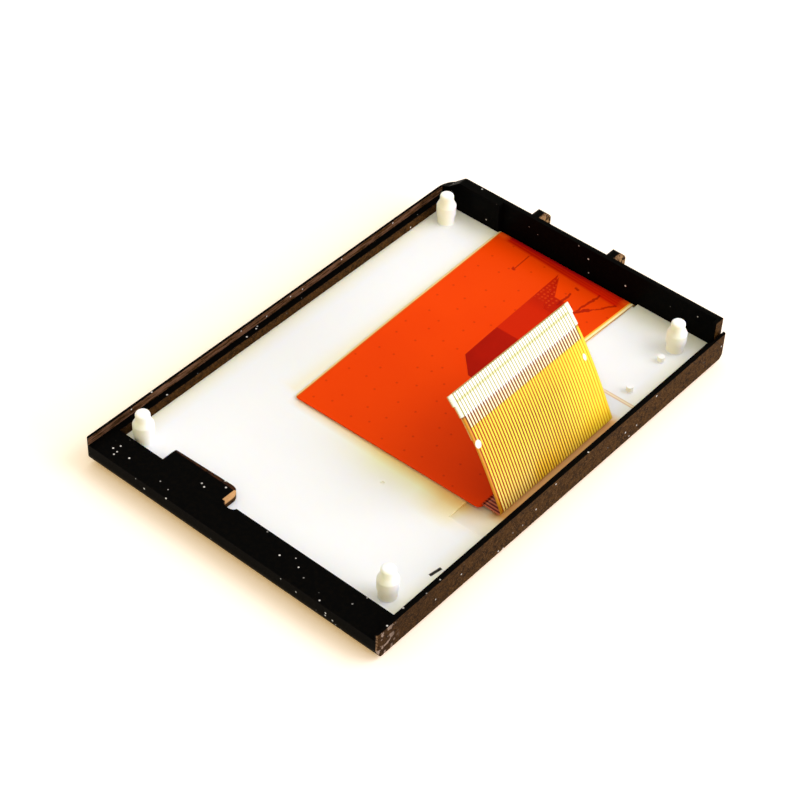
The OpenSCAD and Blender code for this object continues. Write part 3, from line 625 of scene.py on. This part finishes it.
def film_course():
    """Middle line of the film along X, as x, z and running distance: the bonded leg, half
    a turn of radius WRAP_R, the flat start, the slow rise, and the level end."""
    leg = np.linspace(bond_low[0], WRAP_X, 8)[:-1]
    turn = np.linspace(-math.pi / 2, math.pi / 2, 25)
    last = film_low[0] + FOOT_CORNER
    neck = NECK_X + NECK_STEP + NECK_CORNER * (1 - np.sin(np.linspace(0, math.pi / 2, 9)))
    back = np.concatenate([np.linspace(WRAP_X, NECK_X + NECK_CORNER, 64)[1:-1], neck,
                           np.linspace(NECK_X, last, 80)[:-1],
                           last - FOOT_CORNER * np.sin(np.linspace(0, math.pi / 2, 12))])
    rise = np.interp(back, [NECK_X + RISE_START, bond_low[0]], [RISE, 0.0])
    x = np.concatenate([leg, WRAP_X + WRAP_R * np.cos(turn), back])
    z = np.concatenate([np.full(len(leg), WRAP_Z - WRAP_R), WRAP_Z + WRAP_R * np.sin(turn),
                        FLAT_Z + rise])
    run = np.concatenate([[0], np.cumsum(np.hypot(np.diff(x), np.diff(z)))])
    return x, z, run


def round_off(d, r):
    """How far a round corner of radius r draws an edge in, at the distance d from the
    corner's end: r less the root of r squared less (r - d) squared."""
    d = np.clip(d, 0, r)
    return r - np.sqrt(r * r - (r - d) ** 2)


def back_sheet(columns=70):
    """Grid of the film on the back: each row runs in Y from the near to the far edge, and
    the free end slants and waves a little."""
    x, z, run = film_course()
    along = np.clip((bond_low[0] - x) / (bond_low[0] - film_low[0]), 0, 1)
    on_back = run > run[6] + math.pi * WRAP_R
    far = FAR_Y - DRIFT * along * on_back
    at_neck = along[np.argmin(abs(x - NECK_X))]
    near = np.where(x > NECK_X, NEAR_Y + NECK_RISE * along / at_neck * on_back, FOOT_Y)
    v = np.linspace(0, 1, columns)
    far = far - round_off(x - film_low[0], FREE_CORNER)
    near = near + round_off(x - film_low[0], FOOT_CORNER)
    near = near - round_off(x - NECK_X, NECK_CORNER) * (x > NECK_X)
    y = near[:, None] + (far - near)[:, None] * v
    gx = np.repeat(x[:, None], columns, axis=1)
    slant = SLANT * (FAR_Y - DRIFT - y) / (FAR_Y - FOOT_Y)
    gx = gx + slant * np.clip((NECK_X - gx) / (NECK_X - film_low[0]), 0, 1)
    wave = WAVE * np.sin(gx / (5.5 * MM) + 0.7) * np.sin(y / (8.0 * MM))
    gz = z[:, None] + wave * np.clip(along * 3, 0, 1)[:, None]
    uv = np.stack([np.repeat(run[:, None], columns, axis=1), y - FOOT_Y], axis=-1) * UV_SCALE
    return np.stack([gx, y, gz], axis=-1).reshape(-1, 3), grid_faces(len(x), columns), uv.reshape(-1, 2)


def tail_sheet(rows=110, columns=60):
    """Grid of the tail: rows follow the course upwards, columns run across in X, and
    towards its tip the tail is wider by two small steps."""
    steps = [TAIL_L - length + side for length, _ in WIDER for side in (-STEP_HALF, STEP_HALF)]
    s = np.concatenate([np.linspace(FOLD_Y - FOLD_LEN - FOOT_Y, -FOLD_LEN, 6)[:-1],
                        np.linspace(-FOLD_LEN, 0, 13)[:-1],
                        np.sort(np.concatenate([np.linspace(0, TAIL_L, rows), steps]))])
    y, z, _ = tail_course(s)
    wide = np.max([flare * (s > TAIL_L - length) for length, flare in WIDER], axis=0)
    u = np.linspace(0, 1, columns)
    x = (TAIL_X0 - wide)[:, None] + (TAIL_X1 - TAIL_X0 + 2 * wide)[:, None] * u
    gy = np.repeat(y[:, None], columns, axis=1)
    gz = np.repeat(z[:, None], columns, axis=1)
    uv = np.stack([x, np.repeat(s[:, None], columns, axis=1)], axis=-1) * UV_SCALE
    return np.stack([x, gy, gz], axis=-1).reshape(-1, 3), grid_faces(len(s), columns), uv.reshape(-1, 2)


def film_piece(name, sheet):
    """One object from a sheet's points, faces and coordinates, thickened on both sides."""
    obj = mesh_piece(name, *sheet)
    solid = obj.modifiers.new("thickness", "SOLIDIFY")
    solid.thickness = FILM_T
    solid.offset = 0.0
    solid.use_even_offset = True
    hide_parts("main_flex")
    print(name, "faces:", len(obj.data.polygons))
    return obj


back_film = film_piece("flex_film", back_sheet())
tail_film = film_piece("flex_tail", tail_sheet())


# %% [markdown]
# ## Traces and contacts
#
# Each trace is a thin raised strip on the film's outer face. All forty-five are the same
# section carried along the tail's course, so one array holds every strip: a strip has
# four corners at each station, and the strips differ only in their place across.

# %% Strips that follow the tail
def strips(name, node, s0, s1, width, rows):
    """Forty-five strips on the outer face of the tail from s0 to s1. The corners of a
    section lie at half the width to each side, from the film's face out to the trace's
    thickness, along the normal of the course."""
    s = np.linspace(s0, s1, rows)
    y, z, a = tail_course(s)
    normal = np.stack([-np.sin(a), np.cos(a)], axis=-1)
    x = TAIL_X0 + MARGIN + PITCH * np.arange(CONTACTS)
    side = np.array([-1, 1, 1, -1]) * width / 2
    out = np.array([0, 0, TRACE_T, TRACE_T]) + FILM_T / 2
    px = np.broadcast_to(x[:, None, None] + side, (CONTACTS, rows, 4))
    py = np.broadcast_to(y[:, None] + normal[:, :1] * out, (CONTACTS, rows, 4))
    pz = np.broadcast_to(z[:, None] + normal[:, 1:] * out, (CONTACTS, rows, 4))
    points = np.stack([px, py, pz], axis=-1).reshape(-1, 3)
    r, c = np.meshgrid(np.arange(rows - 1) * 4, np.arange(4), indexing="ij")
    after = (c + 1) % 4
    ring = np.stack([r + c, r + after, r + 4 + after, r + 4 + c], axis=-1).reshape(-1, 4)
    end = (rows - 1) * 4
    caps = np.array([[3, 2, 1, 0], [end, end + 1, end + 2, end + 3]])
    one = np.concatenate([ring, caps])
    faces = (np.arange(CONTACTS)[:, None, None] * rows * 4 + one).reshape(-1, 4)
    along = np.broadcast_to(s[:, None], (CONTACTS, rows, 4)).reshape(-1)
    uv = np.stack([points[:, 0], along], axis=-1) * UV_SCALE
    obj = mesh_piece(name, points, faces, uv, smooth=False)
    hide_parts(node)
    print(name, "faces:", len(faces))
    return obj


finger_foot = TAIL_L - TIP_GAP - FINGER_L
traces = strips("trace_strips", "tail_traces", -FOLD_LEN, finger_foot - TRACE_GAP, TRACE_W, 60)
fingers = strips("finger_strips", "contact_fingers", finger_foot, TAIL_L - TIP_GAP, FINGER_W, 24)

# %% [markdown]
# ## Finish of the film
#
# Polyimide film is amber and glossy, and the copper inside it turns it a deep orange. The
# film's face is not one flat colour: it has a lattice of tiny holes, a darker band where
# it turns the edge, and a pale edge where there is no copper.

# %% Patterns that the film shares with its neighbours
STRIPE_PITCH = 0.5


def copper_dots(s, p):
    """A close lattice of dots: 1 at the middle of each and 0 between them."""
    return s.ramp(s.cells(p, 1.5, 0.3, "2D"), 0.2, 0.34, 1.0, 0.0)


def under_traces(s, x, light):
    """Dark and light stripes at the contacts' pitch, as traces show through the film: the
    sine of the place across, cut off steeply."""
    stripes = s.ramp(s.math("SINE", s.math("MULTIPLY", x, 2 * math.pi / STRIPE_PITCH)), -0.3, 0.3)
    return s.mix(stripes, (0.12, 0.006, 0.004), light)


# %% Orange film on the back
COPPER = (0.47, 0.010, 0.0)
COPPER_DOT = (0.72, 0.06, 0.006)
PATCH_TOP = 0.8
s = Shader("orange_film")
p = s.place()
x, y, _ = s.split(p)
base = s.mix(s.ramp(s.noise(p, 0.09, 2.0), 0.3, 0.7), (0.83, 0.055, 0.0), (0.80, 0.049, 0.0))
base = s.paint(base, (0.80, 0.034, 0.0), s.ramp(x, 16.0, -12.0), s.ramp(y, 6.0, -18.0), 0.3)

# Tiny holes between the copper layers, in a loose lattice
holes = s.ramp(s.cells(p, 0.31, 0.6, "2D"), 0.03, 0.07, 1.0, 0.0)
base = s.paint(base, (0.4, 0.012, 0.0), holes, 0.4)

# The grounded copper reaches a little past its own patch, with a dotted end that slants:
# `past` is the place where it ends, and `inside` the distance from there
past = s.math("MULTIPLY_ADD", s.math("MAXIMUM", s.math("ADD", y, 1.3), 0.0), 1.756, 28.6)
inside = s.math("SUBTRACT", past, x)
below = s.ramp(y, PATCH_TOP + 0.15, PATCH_TOP)
base = s.paint(base, COPPER, s.ramp(inside, -0.1, 0.1), s.ramp(x, 25.0, 25.2), below,
               s.ramp(y, -4.5, -4.3))
base = s.paint(base, COPPER_DOT, copper_dots(s, p), s.window(inside, 0.1, 2.4, 0.2),
               s.ramp(y, -2.4, -1.9), below, 0.55)

# Darker band with fine lines where the film turns down at the wall
ends = s.window(y, -8.9, 11.6, 0.5)
rolled = s.math("MULTIPLY_ADD", y, -0.05, x)
lines = s.ramp(s.math("SINE", s.math("MULTIPLY", rolled, 13.0)), -0.3, 0.7)
deep = s.mix(s.ramp(y, 2.0, -5.0), (0.50, 0.003, 0.0), (0.66, 0.006, 0.001))
base = s.paint(base, deep, s.ramp(rolled, 32.95, 33.35), ends, s.math("MULTIPLY_ADD", lines, 0.25, 0.7))
base = s.paint(base, (0.45, 0.002, 0.006), s.window(x, 34.35, 35.1, 0.2), ends,
               s.ramp(y, -5.0, -1.0, 0.3, 1.0), 0.8)
base = s.paint(base, (1.0, 0.11, 0.008), s.ramp(x, 33.6, 34.2), s.math("SUBTRACT", 1.0, ends), 0.6)
# Painted orange glints along the film's roll at the wall
base = s.paint(base, (1.0, 0.14, 0.012), s.ramp(x, 35.1, 35.2),
               s.ramp(s.noise(p, 0.8, 1.0), 0.5, 0.56), 0.8)

# Wrinkles in the cover layer near the neck, bent by a slow noise whose mean is taken off,
# and one short trace with its pad: each stroke has its start, its end and its half width
PAD = ((29.3, 6.5), (29.7, 6.9), 0.14)
CREASES = (((28.0, -5.6), (32.9, -8.7), 0.13), ((28.4, -5.3), (33.1, -5.8), 0.18),
           ((27.8, -5.4), (29.6, -6.4), 0.24), ((30.4, -5.5), (31.8, -5.7), 0.22),
           ((27.6, -2.6), (30.6, -2.5), 0.2), PAD, ((32.1, -2.3), (32.1, -2.7), 0.2))
cloudy = s.node("TexNoise", {"Vector": p, "Scale": 1.2}).outputs["Color"]
bent = s.vector("SUBTRACT", s.vector("ADD", p, s.vector("SCALE", cloudy, 0.7)), (0.35, 0.35, 0.0))
marks = s.stroke(p, (29.6, 6.7), (33.2, 6.9), 0.08)
for start, end, half in CREASES:
    marks = s.math("MAXIMUM", marks, s.stroke(bent, start, end, half))
base = s.paint(base, (0.30, 0.004, 0.001), marks, 0.75)

# Clear border without copper: a brown line and a golden edge on the far side, and on the
# near side a pale band with a tan line
beyond = s.math("SUBTRACT", y, s.math("MULTIPLY_ADD", s.math("SUBTRACT", x, 33.1), 0.036, 13.15))
base = s.paint(base, (0.70, 0.14, 0.008), s.ramp(beyond, -0.12, 0.0))
base = s.paint(base, (1.0, 0.74, 0.34), s.ramp(beyond, 0.06, 0.14))
depth = s.math("SUBTRACT", s.math("MULTIPLY_ADD", x, -0.0225, -8.97), y)
pale = s.mix(s.ramp(depth, 0.18, 0.3), (1.0, 0.5, 0.05), (1.0, 0.84, 0.42))
pale = s.paint(pale, (0.42, 0.2, 0.05), s.ramp(depth, 0.56, 0.64))
pale = s.paint(pale, (1.0, 0.7, 0.36), s.ramp(depth, 0.7, 0.78))
base = s.paint(base, pale, s.ramp(depth, -0.04, 0.04), s.ramp(x, 14.6, 15.0))

# Traces show through the film beside the fold
base = s.paint(base, under_traces(s, x, (0.55, 0.12, 0.06)), s.ramp(y, -18.9, -19.1),
               s.ramp(x, -9.6, -9.4))
s.set(Base_Color=base, Roughness=0.3, Specular_IOR_Level=0.035)
dress(back_film, s.material)
print("film dressed")

# %% [markdown]
# ## Finish of the tail
#
# The tail carries gold traces on an amber film, and tinned contacts at its tip. Its
# colours change along its length, so they are painted by the distance from the tip. That
# distance is read from the sheet's own flat coordinates, because the tail is bent and a
# distance in space would not follow it.

# %% Places and marks on the tail
TAIL_SIDES = (-9.4, 14.1)
SPOT_COLOUR = (0.95, 0.93, 0.82)
SPOTS = ((-8.85, 7.35, 0.5, 0.55), (12.95, 7.45, 0.28, 0.5))


def tail_place(s):
    """Distance across and distance from the tip of the tail, in millimetres, from the
    sheet's own flat coordinates, which hold UV_SCALE times the metres."""
    across, along, _ = s.split(s.uv())
    to_mm = 1 / (UV_SCALE * MM)
    return s.math("MULTIPLY", across, to_mm), s.math("MULTIPLY_ADD", along, -to_mm, TAIL_L / MM)


def tail_spots(s, x, tip):
    """Two small white spots near the tail's edges: each is an oval, 1 inside and 0 outside,
    given by its place across and from the tip and its two half widths."""
    spots = 0.0
    for cx, ct, hx, ht in SPOTS:
        across = s.math("DIVIDE", s.math("SUBTRACT", x, cx), hx)
        along = s.math("DIVIDE", s.math("SUBTRACT", tip, ct), ht)
        away = s.math("ADD", s.math("MULTIPLY", across, across), s.math("MULTIPLY", along, along))
        spots = s.math("MAXIMUM", spots, s.ramp(away, 1.25, 0.75))
    return spots


# %% Amber film between the traces
s = Shader("amber_tail")
x, tip = tail_place(s)
side = s.ramp(x, *TAIL_SIDES)
gap = s.mix(side, (0.32, 0.03, 0.0), (0.78, 0.36, 0.005))
gap = s.paint(gap, (0.15, 0.004, 0.0), s.window(x, -6.0, 9.0, 4.0), s.window(tip, 6.5, 18.0, 2.5), 0.8)

# Towards the tip: the dark start of the contacts, the bare film, a cross line, the end
gap = s.paint(gap, (0.12, 0.014, 0.0), s.ramp(tip, 5.3, 5.0))
gap = s.paint(gap, (0.32, 0.27, 0.04), s.ramp(tip, 3.3, 3.15))
gap = s.paint(gap, (0.24, 0.22, 0.015), s.window(tip, 0.95, 1.4, 0.06))
gap = s.paint(gap, (0.38, 0.34, 0.12), s.ramp(tip, 0.5, 0.3))

# Lighter margins beside the outermost traces
rim = s.math("MAXIMUM", s.ramp(x, -8.95, -9.05), s.ramp(x, 13.65, 13.75))
gap = s.paint(gap, s.mix(side, (0.62, 0.25, 0.01), (0.86, 0.6, 0.03)), rim, s.ramp(tip, 3.2, 3.6))
gap = s.paint(gap, (0.86, 0.84, 0.66), rim, s.ramp(tip, 3.3, 3.15))
gap = s.paint(gap, SPOT_COLOUR, tail_spots(s, x, tip))

# The lower layer, below the fold, shows dark and salmon traces
gap = s.paint(gap, under_traces(s, x, (0.60, 0.15, 0.07)),
              s.ramp(tip, TAIL_L / MM + 0.35, TAIL_L / MM + 0.5))
s.set(Base_Color=gap, Roughness=0.35, Specular_IOR_Level=0.2)
dress(tail_film, s.material)
print("tail film dressed")

# %% Gold traces
s = Shader("gold_traces")
x, tip = tail_place(s)
gold = s.mix(s.ramp(x, *TAIL_SIDES), (0.98, 0.62, 0.05), (1.0, 0.80, 0.05))
gold = s.paint(gold, (1.0, 0.84, 0.26), s.ramp(tip, 11.5, 16.5), s.ramp(x, 10.0, -2.0), 0.7)
gold = s.paint(gold, (0.95, 0.60, 0.04), s.ramp(s.noise(s.place(), 0.15), 0.35, 0.7))
gold = s.paint(gold, SPOT_COLOUR, tail_spots(s, x, tip))
s.set(Base_Color=gold, Roughness=0.35, Specular_IOR_Level=0.3)
dress(traces, s.material)
print("traces dressed")

# %% Tinned contacts
s = Shader("tinned_contacts")
x, tip = tail_place(s)
tin = s.mix(s.noise(s.place(), 3.0), (0.98, 0.97, 0.86), (0.90, 0.89, 0.74))
tin = s.paint(tin, (0.96, 0.96, 0.88), s.ramp(tip, 1.0, 0.8))
tin = s.paint(tin, (0.62, 0.55, 0.08), s.window(tip, 1.0, 1.35, 0.05), 0.6)
tin = s.paint(tin, (0.95, 0.95, 0.88), s.window(tip, 3.05, 3.3, 0.05))
tin = s.paint(tin, (1.0, 0.80, 0.42), s.ramp(tip, 3.2, 4.0), 0.85)

# Past the bare end the cover film laps over the sides of each contact, so only its middle
# shows: the cosine of the place across is 1 at the middle of each contact
from_first = s.math("SUBTRACT", x, (TAIL_X0 + MARGIN) / MM)
wave = s.math("COSINE", s.math("MULTIPLY", from_first, 2 * math.pi / (PITCH / MM)))
tin = s.paint(tin, (0.36, 0.09, 0.01), s.ramp(wave, 0.45, 0.0), s.ramp(tip, 3.25, 3.4), 0.85)
s.set(Base_Color=tin, Roughness=0.4, Specular_IOR_Level=0.2)
dress(fingers, s.material)
print("contacts dressed")

# %% [markdown]
# ## The pieces inside and behind
#
# The glass, the films and the lamps stay as their solids. Each still gets its own
# finish, with a little variation, because they show in the viewing window and in any
# view from the front.

# %% Plain finishes for the remaining solids
def plain(node, low, high, scale, roughness):
    """A material whose colour drifts between two values in soft clouds."""
    s = Shader(node + "_finish")
    s.set(Base_Color=s.mix(s.noise(s.place(), scale), low, high), Roughness=roughness)
    dress(nodes[node], s.material)


plain("front_polariser", (0.006, 0.006, 0.008), (0.01, 0.01, 0.013), 0.2, 0.25)
plain("colour_filter_glass", (0.03, 0.035, 0.04), (0.05, 0.055, 0.06), 0.2, 0.05)
plain("array_glass", (0.35, 0.42, 0.42), (0.4, 0.47, 0.47), 0.2, 0.05)
plain("rear_polariser", (0.05, 0.055, 0.06), (0.07, 0.075, 0.08), 0.2, 0.3)
plain("rim_tape", (0.004, 0.004, 0.004), (0.01, 0.01, 0.01), 2.0, 0.8)
plain("upper_prism_film", (0.7, 0.72, 0.75), (0.8, 0.82, 0.85), 1.0, 0.2)
plain("lower_prism_film", (0.7, 0.72, 0.75), (0.8, 0.82, 0.85), 1.0, 0.2)
plain("diffuser_film", (0.85, 0.85, 0.85), (0.92, 0.92, 0.92), 1.0, 0.8)
plain("light_guide_plate", (0.75, 0.82, 0.85), (0.82, 0.88, 0.9), 0.5, 0.05)
plain("lamp_strip", (0.7, 0.25, 0.03), (0.8, 0.32, 0.04), 1.0, 0.35)
plain("lamps", (0.9, 0.75, 0.25), (0.95, 0.85, 0.4), 2.0, 0.4)
plain("driver_chip", (0.02, 0.02, 0.024), (0.03, 0.03, 0.035), 3.0, 0.2)
plain("bond_strip", (0.4, 0.36, 0.22), (0.5, 0.45, 0.3), 3.0, 0.6)
plain("tail_stiffener", (0.65, 0.3, 0.03), (0.75, 0.38, 0.05), 0.8, 0.3)
print("plain finishes ready")

# %% Silver film, painted dark as the shade where it shows through the slot
s = Shader("reflector_film_finish")
x, y, _ = s.split(s.place())
silver = s.mix(s.noise(s.place(), 0.5), (0.85, 0.86, 0.88), (0.92, 0.93, 0.95))
s.set(Base_Color=s.paint(silver, SLOT_SHADE, slot_mask(s, x, y, 1.3, 0.6)), Roughness=0.3)
dress(nodes["reflector_film"], s.material)
print("reflector dressed")

# %% [markdown]
# ## The ground patch
#
# A piece of copper lies just under the film's face and is left as its solid. It is dark
# red, in two tones with a straight step between them, and it ends in a lattice of dots,
# which goes on in the film's own finish.

# %% Two tones of copper on the ground patch
s = Shader("ground_patch_finish")
p = s.place()
x = s.split(p)["X"]
tone = s.mix(s.ramp(s.noise(p, 0.3), 0.3, 0.7), (0.40, 0.006, 0.0), (0.34, 0.005, 0.0))
tone = s.paint(tone, (0.58, 0.016, 0.0), s.ramp(x, 17.95, 18.15))
tone = s.paint(tone, (0.45, 0.010, 0.0), s.ramp(x, 24.5, 26.5), 0.7)
tone = s.paint(tone, COPPER_DOT, copper_dots(s, p), s.ramp(x, 26.5, 27.2), 0.5)
s.set(Base_Color=tone, Roughness=0.35, Specular_IOR_Level=0.035)
dress(nodes["ground_patch"], s.material)
print("dressed solids:", len([o for o in nodes.values() if o.material_slots]))
